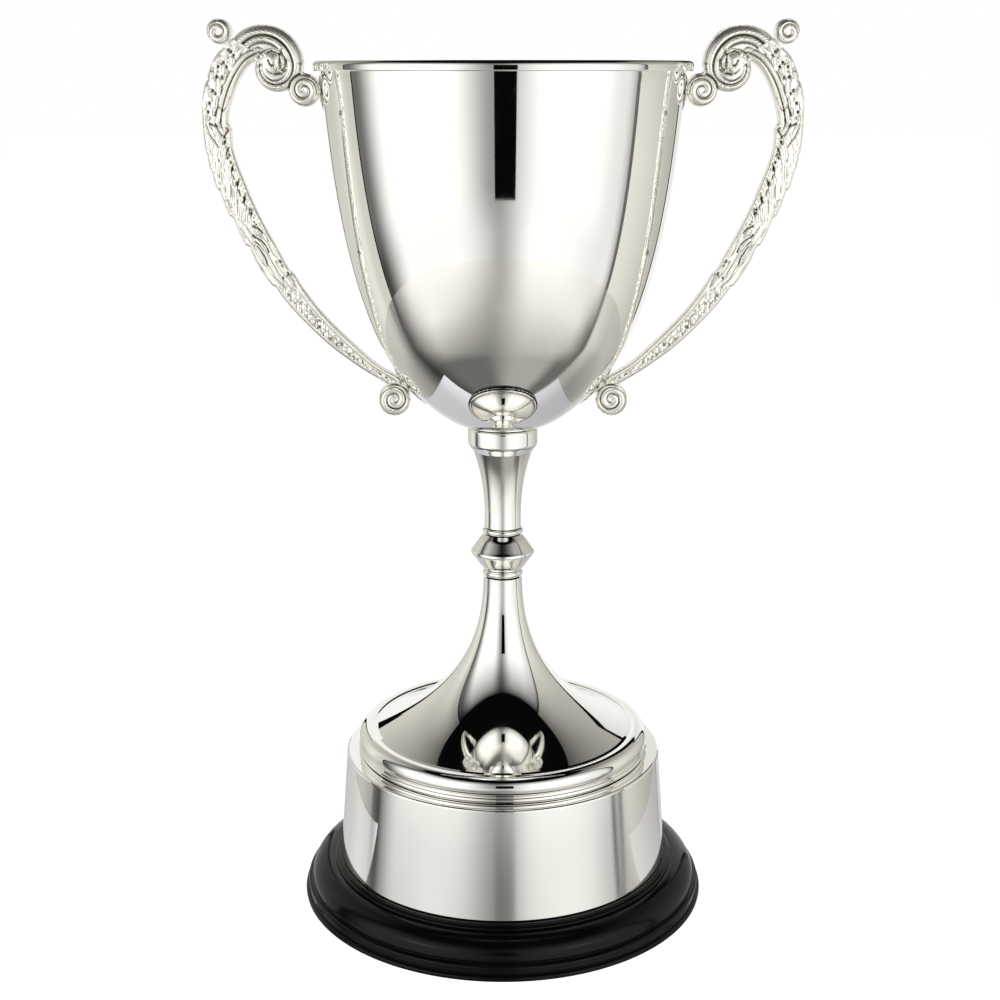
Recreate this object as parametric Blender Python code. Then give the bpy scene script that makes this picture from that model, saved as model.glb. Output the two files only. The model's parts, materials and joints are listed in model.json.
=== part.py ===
"""Cup trophy: a spun two-handled cup on a turned stem and trumpet foot, bolted to a plinth.

The origin is the centre of the base on the surface that it stands on, +Z is up and the handles lie
along X. Sizes are in millimetres and are multiplied by MM where a mesh is made. A profile is a closed
loop of (radius, height) points that is spun round the Z axis.
"""

import math

import bmesh
import bpy
from mathutils import Matrix, Vector

MM = 0.001
GAP = 0.3                 # clearance between pieces that touch
LARGE_ROUND = 40          # sides of the bowl, the foot and the plinth
SMALL_ROUND = 20          # sides of the stem pieces
TINY_ROUND = 12           # sides of the screws and their holes

# Tie rod and the bores that it passes
ROD_RADIUS = 3.0
BORE_RADIUS = ROD_RADIUS + GAP

# Plinth
BASE_RADIUS = 86.4
PAD_RADIUS = 80.0
PAD_THICKNESS = 1.2
PLINTH_BOTTOM = 0.4
MOULDING_TOP = 17.7
BAND_BOTTOM = 18.0
BAND_TOP = 64.6
BAND_BOTTOM_RADIUS = 70.55
BAND_TOP_RADIUS = 67.1
BAND_WALL = 1.0
FLANGE_INNER_RADIUS = 40.0
COUNTERBORE_RADIUS = 13.0
COUNTERBORE_TOP = 16.0

# Foot
FOOT_BOTTOM = BAND_TOP + GAP
FOOT_TOP = 140.9
FOOT_WALL = 1.2
BEAD_CENTRE = (56.2, 71.4)
BEAD_RADIUS = 5.4

# Stem
LOWER_RING = (141.2, 144.1)
KNOP = (144.4, 159.4)
KNOP_RADIUS = 13.35
UPPER_RING = (159.7, 162.2)
STEM_BOTTOM = 162.5
CAP_RADIUS = 14.5
CAP_TOP = 204.9
CAP_DISH = 203.2

# Bowl
BOWL_BOTTOM = 204.6
BOWL_WALL = 1.0
BOWL_TOP = 349.2
BOWL_TOP_RADIUS = 70.9
TRUE_TOP = 350.0
LIP_BOTTOM = 346.2
LIP_RADIUS = 73.8

# Handles, in the plane Y = 0 and measured on the +X side
STRAP_THICKNESS = 7.0
PAD_LIFT = 1.5
ARC_CENTRE = (92.9, 348.5)
ARC_RADIUS = 15.2
EYE_SCROLL = ((87.2, 347.6), 9.1, 8.6)      # centre, radius, thickness
TOP_SCROLL = ((109.6, 360.7), 5.3, 7.4)
NECK_SCROLL = ((77.5, 339.3), 6.5, 7.6)
LOWER_SCROLL = ((44.2, 216.6), 6.65, 6.6)

# Handle screws: a wall point and the direction out of the bowl, in degrees above +X
SCREW_RADIUS = 1.6
UPPER_SCREW = ((69.9, 339.3), 0.0)
LOWER_SCREW = ((37.7, 222.5), -41.3)


def clear_scene():
    for item in list(bpy.data.objects):
        bpy.data.objects.remove(item, do_unlink=True)


def finish(name, colour, roughness, metallic):
    material = bpy.data.materials.new(name)
    material.use_nodes = True
    shader = material.node_tree.nodes["Principled BSDF"]
    shader.inputs["Base Color"].default_value = (*colour, 1.0)
    shader.inputs["Roughness"].default_value = roughness
    shader.inputs["Metallic"].default_value = metallic
    return material


def silver(name):
    return finish(name + "_silver", (0.93, 0.92, 0.89), 0.05, 1.0)


def cast_silver(name):
    return finish(name + "_cast_silver", (0.86, 0.84, 0.80), 0.28, 1.0)


def steel(name):
    return finish(name + "_steel", (0.55, 0.55, 0.56), 0.35, 1.0)


def black_gloss(name):
    return finish(name + "_black", (0.006, 0.006, 0.007), 0.10, 0.0)


def baize(name):
    return finish(name + "_baize", (0.01, 0.06, 0.03), 0.95, 0.0)


def add_object(name, shape, material):
    """A mesh object from a bmesh in millimetres, its faces turned outwards."""
    bmesh.ops.recalc_face_normals(shape, faces=shape.faces)
    bmesh.ops.scale(shape, vec=(MM, MM, MM), verts=shape.verts)
    mesh = bpy.data.meshes.new(name)
    shape.to_mesh(mesh)
    shape.free()
    mesh.shade_smooth()
    mesh.set_sharp_from_angle(angle=math.radians(35))
    mesh.materials.append(material)
    item = bpy.data.objects.new(name, mesh)
    bpy.context.scene.collection.objects.link(item)
    return item


def arc(centre, radius, start, end, count):
    """Points on a circle from one angle to another, in degrees counterclockwise from +r."""
    points = []
    for step in range(count + 1):
        angle = math.radians(start + (end - start) * step / count)
        points.append((centre[0] + radius * math.cos(angle), centre[1] + radius * math.sin(angle)))
    return points


def bezier(start, first, second, end, count):
    points = []
    for step in range(count + 1):
        t = step / count
        weights = ((1 - t) ** 3, 3 * t * (1 - t) ** 2, 3 * t * t * (1 - t), t ** 3)
        corners = (start, first, second, end)
        points.append(tuple(sum(w * c[axis] for w, c in zip(weights, corners)) for axis in (0, 1)))
    return points


def smooth_through(points, count):
    """A Catmull-Rom curve through the points, with this many steps in each span."""
    ends = [points[0], *points, points[-1]]
    curve = [points[0]]
    for a, b, c, d in zip(ends, ends[1:], ends[2:], ends[3:]):
        for step in range(1, count + 1):
            t = step / count
            curve.append(tuple(
                0.5 * (2 * b[k] + (c[k] - a[k]) * t + (2 * a[k] - 5 * b[k] + 4 * c[k] - d[k]) * t * t
                       + (3 * b[k] - a[k] - 3 * c[k] + d[k]) * t ** 3)
                for k in (0, 1)))
    return curve


def offset_in(curve, distance):
    """The curve moved towards the axis; it has to run from its top down."""
    moved = []
    last = len(curve) - 1
    for index, (radius, height) in enumerate(curve):
        before = curve[max(index - 1, 0)]
        after = curve[min(index + 1, last)]
        along = Vector((after[0] - before[0], after[1] - before[1])).normalized()
        moved.append((radius + along.y * distance, height - along.x * distance))
    return moved


def spin_profile(profile, sides, start=0.0, sweep=360.0):
    """A bmesh of the profile spun about Z. A profile that starts and ends on the axis stays open
    there, any other is a closed loop, and less than a full turn gets flat ends."""
    shape = bmesh.new()
    turn = Matrix.Rotation(math.radians(start), 3, "Z")
    loop = [shape.verts.new(turn @ Vector((radius, 0.0, height))) for radius, height in profile]
    first = 1 if profile[0][0] == 0 else 0
    edges = [shape.edges.new((loop[i - 1], loop[i])) for i in range(first, len(loop))]
    whole = sweep == 360.0
    bmesh.ops.spin(
        shape, geom=loop + edges, cent=(0, 0, 0), axis=(0, 0, 1),
        angle=math.radians(sweep), steps=sides, use_merge=whole)
    bmesh.ops.remove_doubles(shape, verts=shape.verts, dist=0.001)
    if not whole:
        bmesh.ops.holes_fill(shape, edges=[edge for edge in shape.edges if edge.is_boundary])
    return shape


def turned(name, profile, sides, material):
    return add_object(name, spin_profile(profile, sides), material)


def prism(outline, thickness):
    """A bmesh of an (x, z) outline extruded evenly to both sides of the plane Y = 0."""
    shape = bmesh.new()
    face = shape.faces.new([shape.verts.new((x, -thickness / 2, z)) for x, z in outline])
    pushed = bmesh.ops.extrude_face_region(shape, geom=[face])["geom"]
    corners = [item for item in pushed if isinstance(item, bmesh.types.BMVert)]
    bmesh.ops.translate(shape, verts=corners, vec=(0, thickness, 0))
    return shape


def mirrored(shape, side):
    """The bmesh on the +X side, or its mirror image on the -X side."""
    bmesh.ops.scale(shape, vec=(side, 1, 1), verts=shape.verts)
    return shape


def combine(target, operation, helpers):
    """Adds each helper to the target, or cuts it away."""
    for helper in helpers:
        helper.hide_render = True
        helper.display_type = "WIRE"
        modifier = target.modifiers.new(helper.name, "BOOLEAN")
        modifier.operation = operation
        modifier.solver = "EXACT"
        modifier.object = helper


def screw_axis(place, side):
    """The matrix that takes +Z to the screw's direction out of the bowl, at its point on the wall."""
    (x, z), tilt = place
    direction = Vector((math.cos(math.radians(tilt)) * side, 0, math.sin(math.radians(tilt))))
    turn = Vector((0, 0, 1)).rotation_difference(direction).to_matrix().to_4x4()
    return Matrix.Translation((x * side * MM, 0, z * MM)) @ turn


def screw_cutter(name, place, side, start, end, material):
    """A round cutter along the screw's axis, from one distance to another from the wall."""
    radius = SCREW_RADIUS + GAP
    shape = bmesh.new()
    bmesh.ops.create_cone(
        shape, cap_ends=True, segments=TINY_ROUND, radius1=radius, radius2=radius, depth=end - start)
    bmesh.ops.translate(shape, verts=shape.verts, vec=(0, 0, (start + end) / 2))
    cutter = add_object(name, shape, material)
    cutter.matrix_world = screw_axis(place, side)
    return cutter


def bowl_outline():
    """The outer wall from the mouth down to the seat at the bottom."""
    upper = bezier((70.8, 343.5), (68.0, 311.2), (64.4, 274.2), (51.8, 243.7), 6)
    lower = bezier((51.8, 243.7), (44.4, 225.9), (24.9, BOWL_BOTTOM), (9.0, BOWL_BOTTOM), 6)
    return [(BOWL_TOP_RADIUS, BOWL_TOP), *upper, *lower[1:]]


def make_bowl():
    outer = bowl_outline()
    inner = offset_in(outer, BOWL_WALL)
    inner[0] = (BOWL_TOP_RADIUS - BOWL_WALL, BOWL_TOP)
    profile = [
        *outer,
        (BORE_RADIUS, BOWL_BOTTOM),
        (BORE_RADIUS, BOWL_BOTTOM + BOWL_WALL),
        *reversed(inner),
    ]
    bowl = turned("bowl", profile, LARGE_ROUND, silver("bowl"))
    holes = []
    for side in (-1, 1):
        for level, place in (("upper", UPPER_SCREW), ("lower", LOWER_SCREW)):
            name = f"bowl_hole_{level}_{side}"
            holes.append(screw_cutter(name, place, side, -3.0, 3.0, silver(name)))
    combine(bowl, "DIFFERENCE", holes)


def make_rim_band():
    """A rounded lip that wraps the mouth and turns in over the wall's edge."""
    inside = BOWL_TOP_RADIUS + GAP
    edge = BOWL_TOP_RADIUS - BOWL_WALL - GAP
    profile = [
        (edge, BOWL_TOP + GAP),
        (edge + 0.1, TRUE_TOP - 0.1),
        (edge + 0.6, TRUE_TOP),
        *arc((72.0, TRUE_TOP - 1.3), 1.3, 90, 15, 3),
        (LIP_RADIUS, LIP_BOTTOM + 0.8),
        (LIP_RADIUS - 0.1, LIP_BOTTOM + 0.2),
        (LIP_RADIUS - 0.5, LIP_BOTTOM),
        (inside, LIP_BOTTOM),
        (inside, BOWL_TOP + GAP),
    ]
    turned("rim_band", profile, LARGE_ROUND, silver("rim_band"))


def strap_outline():
    """The strap from its top arc down to the lower scroll, as one closed outline."""
    top_arc = arc(ARC_CENTRE, ARC_RADIUS, 180, 42, 12)
    outer = smooth_through([
        (110.0, 353.4), (112.9, 349.0), (116.6, 338.5), (117.5, 329.0), (116.4, 315.5),
        (113.4, 303.5), (106.9, 288.8), (98.4, 273.0), (88.3, 258.0), (72.6, 241.2),
        (58.5, 230.2), (47.2, 223.2)], 2)
    inner = smooth_through([
        (41.8, 221.5), (42.4, 225.2), (53.5, 232.6), (70.4, 248.8), (79.0, 259.5), (87.8, 273.0),
        (96.6, 289.5), (102.4, 303.5), (106.6, 316.5), (107.5, 328.0), (104.7, 338.9),
        (99.4, 347.6), (94.2, 351.0)], 2)
    return [*top_arc, *outer, *inner, (86.0, 346.0), (79.0, 344.5)]


def wall_section(low, high, steps):
    """Points on the bowl's outer wall at even heights, from the highest down."""
    outline = bowl_outline()
    section = []
    for step in range(steps + 1):
        height = high + (low - high) * step / steps
        for above, below in zip(outline, outline[1:]):
            if below[1] <= height <= above[1]:
                share = (height - below[1]) / (above[1] - below[1])
                section.append((below[0] + share * (above[0] - below[0]), height))
                break
    return section


def bowl_pad(low, high, half_angle, side):
    """A curved plate that lies on the bowl's wall between two heights."""
    wall = wall_section(low, high, 3)
    face = offset_in(wall, -GAP)
    back = offset_in(wall, -PAD_LIFT - GAP)
    shape = spin_profile([*face, *reversed(back)], 4, -half_angle, 2 * half_angle)
    return mirrored(shape, side)


def make_handle(name, side):
    material = cast_silver(name)
    handle = add_object(name, mirrored(prism(strap_outline(), STRAP_THICKNESS), side), material)
    solids = []
    for part, (centre, radius, thickness) in (
            ("eye_scroll", EYE_SCROLL), ("top_scroll", TOP_SCROLL),
            ("neck_scroll", NECK_SCROLL), ("lower_scroll", LOWER_SCROLL)):
        disc = prism(arc(centre, radius, 0, 340, 17), thickness)
        solids.append(add_object(f"{name}_{part}", mirrored(disc, side), material))
    for part, low, high, half_angle in (
            ("upper_pad", 331.5, 345.0, 7.5), ("lower_pad", 214.5, 229.5, 9.0)):
        plate = bowl_pad(low, high, half_angle, side)
        solids.append(add_object(f"{name}_{part}", plate, material))
    combine(handle, "UNION", solids)
    holes = []
    for level, place, depth in (("upper", UPPER_SCREW, 8.6), ("lower", LOWER_SCREW, 8.2)):
        holes.append(screw_cutter(f"{name}_hole_{level}", place, side, 0.0, depth, material))
    combine(handle, "DIFFERENCE", holes)


def make_handle_screw(name, place, side):
    """A dome-headed screw from inside the bowl into the handle, and its washer."""
    head_seat = -2.5
    screw_profile = [
        (0, 7.4), (1.3, 7.4), (SCREW_RADIUS, 6.9), (SCREW_RADIUS, head_seat),
        (3.4, head_seat), (3.3, head_seat - 0.9), (2.4, head_seat - 1.8), (1.0, head_seat - 2.2),
        (0, head_seat - 2.3),
    ]
    washer_profile = [(1.9, -1.3), (3.7, -1.3), (3.7, -2.2), (1.9, -2.2)]
    for suffix, profile in (("screw", screw_profile), ("washer", washer_profile)):
        piece = turned(f"{name}_{suffix}", profile, TINY_ROUND, steel(f"{name}_{suffix}"))
        piece.matrix_world = screw_axis(place, side)


def make_stem():
    """The washer under the bowl, the tapered stem, the knop and its two rings."""
    collar = [
        (BORE_RADIUS, CAP_DISH + GAP), (5.6, CAP_DISH + GAP), (6.0, CAP_DISH + 0.7),
        (5.6, BOWL_BOTTOM - GAP), (BORE_RADIUS, BOWL_BOTTOM - GAP)]
    turned("stem_collar", collar, SMALL_ROUND, silver("stem_collar"))
    stem = [
        (BORE_RADIUS, CAP_DISH), (10.3, CAP_DISH), (12.8, CAP_TOP - 0.1), (13.9, CAP_TOP),
        (CAP_RADIUS, CAP_TOP - 0.6), (CAP_RADIUS, 198.4), (14.1, 197.4),
        *bezier((12.4, 195.0), (9.6, 187.5), (7.2, 178.0), (7.75, STEM_BOTTOM), 6),
        (BORE_RADIUS, STEM_BOTTOM)]
    turned("upper_stem", stem, SMALL_ROUND, silver("upper_stem"))
    for name, (low, high), radius in (("upper_ring", UPPER_RING, 8.6), ("lower_ring", LOWER_RING, 8.5)):
        middle = (low + high) / 2
        half = (high - low) / 2
        ring = [
            (BORE_RADIUS, high), (radius - half, high),
            *arc((radius - half, middle), half, 60, -60, 4),
            (radius - half, low), (BORE_RADIUS, low)]
        turned(name, ring, SMALL_ROUND, silver(name))
    low, high = KNOP
    middle = (low + high) / 2
    knop = [
        (BORE_RADIUS, high), (8.0, high), (9.6, high - 1.8), (KNOP_RADIUS - 0.7, middle + 1.4),
        (KNOP_RADIUS, middle + 0.5), (KNOP_RADIUS, middle - 0.5), (KNOP_RADIUS - 0.7, middle - 1.4),
        (9.6, low + 1.8), (8.0, low), (BORE_RADIUS, low)]
    turned("knop", knop, SMALL_ROUND, silver("knop"))


def make_foot():
    """The trumpet shell that flares from the stem to its rolled bead."""
    flare = bezier((8.2, FOOT_TOP), (8.2, 107.0), (24.3, 86.9), (53.4, 76.6), 9)
    rim = [(59.8, 67.2), (60.8, 67.1), (61.7, 66.5), (61.9, 65.8), (61.7, FOOT_BOTTOM)]
    outside = [*flare, *arc(BEAD_CENTRE, BEAD_RADIUS, 80, -45, 5), *rim]
    tube = [(BORE_RADIUS, 118.0), (7.6, 112.5)]
    hollow = [point for point in offset_in(flare, FOOT_WALL) if 77.5 < point[1] < 108.0]
    inside = [
        (BORE_RADIUS, FOOT_TOP), *tube, *hollow,
        *arc(BEAD_CENTRE, BEAD_RADIUS - FOOT_WALL, 70, -30, 3), (59.3, 67.0), (59.3, FOOT_BOTTOM)]
    turned("foot", [*outside, *reversed(inside)], LARGE_ROUND, silver("foot"))


def make_foot_fixings():
    plate_bottom = 70.0
    plate_top = 71.2
    plate = [
        (BORE_RADIUS, plate_bottom), (58.8, plate_bottom), (58.8, plate_top), (BORE_RADIUS, plate_top)]
    turned("foot_plate", plate, LARGE_ROUND, steel("foot_plate"))
    make_nut("foot_nut", plate_bottom - GAP - 4.5, plate_bottom - GAP)


def make_nut(name, low, high):
    """A hexagonal nut 10 mm across its flats, with the rod's clearance bore."""
    corner = 5.0 / math.cos(math.radians(30))
    nut = turned(name, [
        (BORE_RADIUS, low), (corner, low), (corner, high), (BORE_RADIUS, high)], 6, steel(name))
    bore = bmesh.new()
    bmesh.ops.create_cone(
        bore, cap_ends=True, segments=SMALL_ROUND, radius1=BORE_RADIUS, radius2=BORE_RADIUS,
        depth=2 * (high - low))
    bmesh.ops.translate(bore, verts=bore.verts, vec=(0, 0, (low + high) / 2))
    combine(nut, "DIFFERENCE", [add_object(f"{name}_bore", bore, steel(f"{name}_bore"))])


def make_plinth():
    """The turned black plinth: base moulding, drum inside the band, bore and counterbore."""
    drum_bottom_radius = BAND_BOTTOM_RADIUS - BAND_WALL - GAP
    drum_top_radius = BAND_TOP_RADIUS - BAND_WALL - GAP
    ovolo = []
    for step in range(6):
        angle = math.radians(90 * step / 5)
        ovolo.append((73.8 + 9.5 * math.sin(angle), 7.4 + 7.8 * math.cos(angle)))
    profile = [
        (BORE_RADIUS, BAND_TOP - BAND_WALL - GAP),
        (drum_top_radius, BAND_TOP - BAND_WALL - GAP),
        (drum_bottom_radius, MOULDING_TOP),
        (72.0, MOULDING_TOP), (72.2, 17.0), (72.0, 16.5), (72.9, 16.4), (73.3, 15.9), (73.1, 15.3),
        *ovolo,
        (82.9, 6.8), (84.3, 6.7), (85.1, 6.0), (85.2, 3.3), (84.7, 2.8), (85.7, 2.6),
        (BASE_RADIUS, 2.0), (BASE_RADIUS, 0.9), (BASE_RADIUS - 0.5, PLINTH_BOTTOM),
        (PAD_RADIUS + GAP, PLINTH_BOTTOM), (PAD_RADIUS + GAP, PAD_THICKNESS + GAP),
        (COUNTERBORE_RADIUS, PAD_THICKNESS + GAP), (COUNTERBORE_RADIUS, COUNTERBORE_TOP),
        (BORE_RADIUS, COUNTERBORE_TOP),
    ]
    turned("plinth", profile, LARGE_ROUND, black_gloss("plinth"))


def make_plinth_band():
    """The silver drum round the plinth, turned in over its top."""
    profile = [
        (FLANGE_INNER_RADIUS, BAND_TOP), (BAND_TOP_RADIUS - 0.8, BAND_TOP),
        (BAND_TOP_RADIUS - 0.1, BAND_TOP - 0.4), (BAND_TOP_RADIUS, BAND_TOP - 1.1),
        (BAND_BOTTOM_RADIUS, BAND_BOTTOM), (BAND_BOTTOM_RADIUS - BAND_WALL, BAND_BOTTOM),
        (BAND_TOP_RADIUS - BAND_WALL, BAND_TOP - BAND_WALL),
        (FLANGE_INNER_RADIUS, BAND_TOP - BAND_WALL)]
    turned("plinth_band", profile, LARGE_ROUND, silver("plinth_band"))


def make_tie_rod():
    """The long domed bolt from inside the bowl to the counterbore under the plinth."""
    seat = BOWL_BOTTOM + BOWL_WALL + GAP
    washer = [(BORE_RADIUS, seat), (8.0, seat), (8.0, seat + 0.8), (BORE_RADIUS, seat + 0.8)]
    turned("bowl_washer", washer, SMALL_ROUND, steel("bowl_washer"))
    head = seat + 0.8 + GAP
    rod = [
        (0, head + 3.2), (2.8, head + 2.8), (4.8, head + 1.6), (5.6, head), (ROD_RADIUS, head),
        (ROD_RADIUS, 7.5), (ROD_RADIUS - 0.5, 7.0), (0, 7.0)]
    turned("tie_rod", rod, SMALL_ROUND, steel("tie_rod"))
    low = COUNTERBORE_TOP - GAP - 1.4
    high = COUNTERBORE_TOP - GAP
    tie_washer = [(BORE_RADIUS, low), (9.0, low), (9.0, high), (BORE_RADIUS, high)]
    turned("tie_washer", tie_washer, SMALL_ROUND, steel("tie_washer"))
    make_nut("tie_nut", low - GAP - 5.0, low - GAP)


def make_baize_pad():
    pad = bmesh.new()
    bmesh.ops.create_cone(
        pad, cap_ends=True, segments=LARGE_ROUND, radius1=PAD_RADIUS, radius2=PAD_RADIUS,
        depth=PAD_THICKNESS)
    bmesh.ops.translate(pad, verts=pad.verts, vec=(0, 0, PAD_THICKNESS / 2))
    add_object("baize_pad", pad, baize("baize_pad"))


def main():
    clear_scene()
    make_bowl()
    make_rim_band()
    for hand, side in (("left", -1), ("right", 1)):
        make_handle(f"{hand}_handle", side)
        make_handle_screw(f"{hand}_upper", UPPER_SCREW, side)
        make_handle_screw(f"{hand}_lower", LOWER_SCREW, side)
    make_stem()
    make_foot()
    make_foot_fixings()
    make_plinth()
    make_plinth_band()
    make_tie_rod()
    make_baize_pad()


main()
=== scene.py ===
"""The cup trophy's looks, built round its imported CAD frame.

Turned pieces are spun finely from profiles that start from the frame's own boxes. The two handles
are castings: a flat outline with relief on both faces, worked out on a fine grid. Lengths are in
millimetres until a mesh is made, where MM turns them into metres. +Z is up, the handles lie along X
and the viewed side faces -Y.
"""

import json
import math

import bmesh
import bpy
import numpy as np
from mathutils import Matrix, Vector


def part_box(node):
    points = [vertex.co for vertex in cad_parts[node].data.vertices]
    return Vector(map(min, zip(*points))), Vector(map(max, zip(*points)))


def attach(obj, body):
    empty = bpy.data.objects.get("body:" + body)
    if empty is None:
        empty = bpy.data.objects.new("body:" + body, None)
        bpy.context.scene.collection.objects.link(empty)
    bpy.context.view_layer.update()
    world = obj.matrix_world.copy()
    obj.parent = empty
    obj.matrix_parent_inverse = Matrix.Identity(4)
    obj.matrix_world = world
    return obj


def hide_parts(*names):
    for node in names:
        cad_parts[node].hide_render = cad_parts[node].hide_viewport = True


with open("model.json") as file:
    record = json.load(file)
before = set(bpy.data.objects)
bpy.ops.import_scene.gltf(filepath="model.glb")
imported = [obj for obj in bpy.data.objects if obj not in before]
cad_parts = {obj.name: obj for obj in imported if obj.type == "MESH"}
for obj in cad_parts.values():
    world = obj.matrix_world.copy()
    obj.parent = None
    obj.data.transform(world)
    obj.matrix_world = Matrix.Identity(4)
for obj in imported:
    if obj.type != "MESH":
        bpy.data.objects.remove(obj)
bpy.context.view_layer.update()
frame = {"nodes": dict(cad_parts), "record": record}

MM = 0.001
BODY = "root"
FINE = 224  # sides of the large turned pieces
SMALL = 128  # sides of the stem pieces
RELIEF_STEP = 0.27  # grid step of the handles' relief


# ---------- places read from the frame

def ring_of(node):
    """(outer radius, lowest height, highest height) of a turned CAD node, in millimetres."""
    low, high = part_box(node)
    return high.x / MM, low.z / MM, high.z / MM


# ---------- materials

def new_material(name, **constants):
    """A node material and its Principled shader, with these of the shader's inputs set."""
    material = bpy.data.materials.new(name)
    material.use_nodes = True
    shader = material.node_tree.nodes["Principled BSDF"]
    for key, value in constants.items():
        shader.inputs[key.replace("_", " ")].default_value = value
    return material, material.node_tree, shader


def add_node(tree, kind, **values):
    node = tree.nodes.new(kind)
    for key, value in values.items():
        if key in node.inputs:
            node.inputs[key].default_value = value
        else:
            setattr(node, key, value)
    return node


def object_place(tree, scale):
    """The surface's own coordinates in metres, stretched by a scale."""
    place = add_node(tree, "ShaderNodeTexCoord")
    stretch = add_node(tree, "ShaderNodeMapping", Scale=scale)
    tree.links.new(place.outputs["Object"], stretch.inputs["Vector"])
    return stretch.outputs["Vector"]


def noise(tree, scale, detail=3.0, roughness=0.5, stretch=(1.0, 1.0, 1.0)):
    node = add_node(tree, "ShaderNodeTexNoise", Scale=scale, Detail=detail, Roughness=roughness)
    tree.links.new(object_place(tree, stretch), node.inputs["Vector"])
    return node.outputs["Fac"]


def between(tree, value, low, high, start=0.0, end=1.0):
    """The value moved from one range to another, and held inside it."""
    node = tree.nodes.new("ShaderNodeMapRange")
    for key, limit in (("From Min", start), ("From Max", end), ("To Min", low), ("To Max", high)):
        node.inputs[key].default_value = limit
    tree.links.new(value, node.inputs["Value"])
    return node.outputs["Result"]


def blend_colour(tree, value, first, second):
    node = tree.nodes.new("ShaderNodeMix")
    node.data_type = "RGBA"
    node.inputs["A"].default_value = (*first, 1.0)
    node.inputs["B"].default_value = (*second, 1.0)
    tree.links.new(value, node.inputs["Factor"])
    return node.outputs["Result"]


def bump(tree, height, distance, strength=1.0):
    node = add_node(tree, "ShaderNodeBump", Distance=distance, Strength=strength)
    tree.links.new(height, node.inputs["Height"])
    return node.outputs["Normal"]


def dress(tree, shader, **looks):
    """Link each of these to the shader's input of the same name."""
    for name, look in looks.items():
        tree.links.new(look, shader.inputs[name.replace("_", " ")])


def add_object(name, data):
    thing = bpy.data.objects.new(name, data)
    bpy.context.scene.collection.objects.link(thing)
    return thing


def keep_values(mesh, name, values):
    """A value at each point of the mesh, for its material to read."""
    mesh.attributes.new(name, "FLOAT", "POINT").data.foreach_set("value", values)


def polished_silver():
    """Mirror plate: a faint warm cloud in the colour, hairline polishing marks round the axis."""
    material, tree, shader = new_material("polished_silver", Metallic=1.0)
    cloud = noise(tree, 18.0, 4.0)
    tint = blend_colour(tree, cloud, (0.955, 0.948, 0.905), (0.985, 0.980, 0.943))
    rings = noise(tree, 1.0, 2.0, stretch=(60.0, 60.0, 4200.0))
    smears = noise(tree, 55.0, 5.0, 0.6)
    rough_marks = between(tree, rings, 0.0, 0.012, 0.35, 0.75)
    rough_cloud = between(tree, smears, 0.018, 0.042, 0.35, 0.7)
    total = add_node(tree, "ShaderNodeMath", operation="ADD")
    tree.links.new(rough_marks, total.inputs[0])
    tree.links.new(rough_cloud, total.inputs[1])
    dress(tree, shader, Base_Color=tint, Roughness=total.outputs["Value"],
          Normal=bump(tree, rings, 0.0000012))
    return material


def cast_silver():
    """Bright cast plate: fine sand-cast grain, with painted shade and dark tarnish in the deep relief."""
    material, tree, shader = new_material("cast_silver", Metallic=0.92)
    # the recess attribute drives painted shade, with tarnish, in the hollows of the relief
    depth = add_node(tree, "ShaderNodeAttribute", attribute_name="recess")
    grain = noise(tree, 900.0, 4.0, 0.6)
    uneven = noise(tree, 160.0, 3.0)
    # random mottling plus the recess value: the dark brown end is painted shade and tarnish
    mottle_shade_and_tarnish = add_node(tree, "ShaderNodeMath", operation="MULTIPLY_ADD")
    mottle_shade_and_tarnish.inputs[1].default_value = 0.35
    tree.links.new(uneven, mottle_shade_and_tarnish.inputs[0])
    tree.links.new(depth.outputs["Fac"], mottle_shade_and_tarnish.inputs[2])
    share = between(tree, mottle_shade_and_tarnish.outputs["Value"], 0.0, 1.0, 0.34, 1.25)
    colour = blend_colour(tree, share, (0.99, 0.97, 0.90), (0.13, 0.105, 0.07))
    dress(tree, shader, Base_Color=colour, Roughness=between(tree, grain, 0.16, 0.32, 0.3, 0.7),
          Normal=bump(tree, grain, 0.00003, 0.7))
    return material


def turned_steel():
    """Plain steel fixings: fine turning marks and dull patches."""
    material, tree, shader = new_material("turned_steel", Metallic=1.0)
    marks = noise(tree, 1.0, 3.0, stretch=(900.0, 900.0, 5000.0))
    patches = noise(tree, 240.0, 4.0)
    colour = blend_colour(tree, patches, (0.46, 0.46, 0.47), (0.62, 0.62, 0.63))
    dress(tree, shader, Base_Color=colour, Roughness=between(tree, patches, 0.22, 0.40, 0.3, 0.7),
          Normal=bump(tree, marks, 0.00002))
    return material


def black_lacquer():
    """Deep gloss black with a little orange peel and uneven polish."""
    material, tree, shader = new_material("black_lacquer", IOR=1.4, Specular_IOR_Level=0.28)
    peel = noise(tree, 420.0, 2.0)
    polish = noise(tree, 70.0, 5.0, 0.65)
    colour = blend_colour(tree, polish, (0.0008, 0.0008, 0.001), (0.0022, 0.0022, 0.0026))
    dress(tree, shader, Base_Color=colour, Roughness=between(tree, polish, 0.10, 0.17, 0.3, 0.7),
          Normal=bump(tree, peel, 0.00001, 0.6))
    return material


def green_baize():
    """Short-napped felt: matted fibres and a soft sheen."""
    material, tree, shader = new_material("green_baize", Roughness=0.95, Sheen_Weight=0.5)
    fibres = noise(tree, 1500.0, 5.0, 0.7, (1.0, 1.6, 1.0))
    clumps = noise(tree, 260.0, 4.0)
    colour = blend_colour(tree, clumps, (0.006, 0.045, 0.022), (0.014, 0.085, 0.045))
    dress(tree, shader, Base_Color=colour, Normal=bump(tree, fibres, 0.0003, 0.9))
    return material


FINISHES = {
    "silver_plate": polished_silver(),
    "cast_silver": cast_silver(),
    "fixing_steel": turned_steel(),
    "black_lacquer": black_lacquer(),
    "green_baize": green_baize(),
}


# ---------- curves and turned shapes

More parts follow.
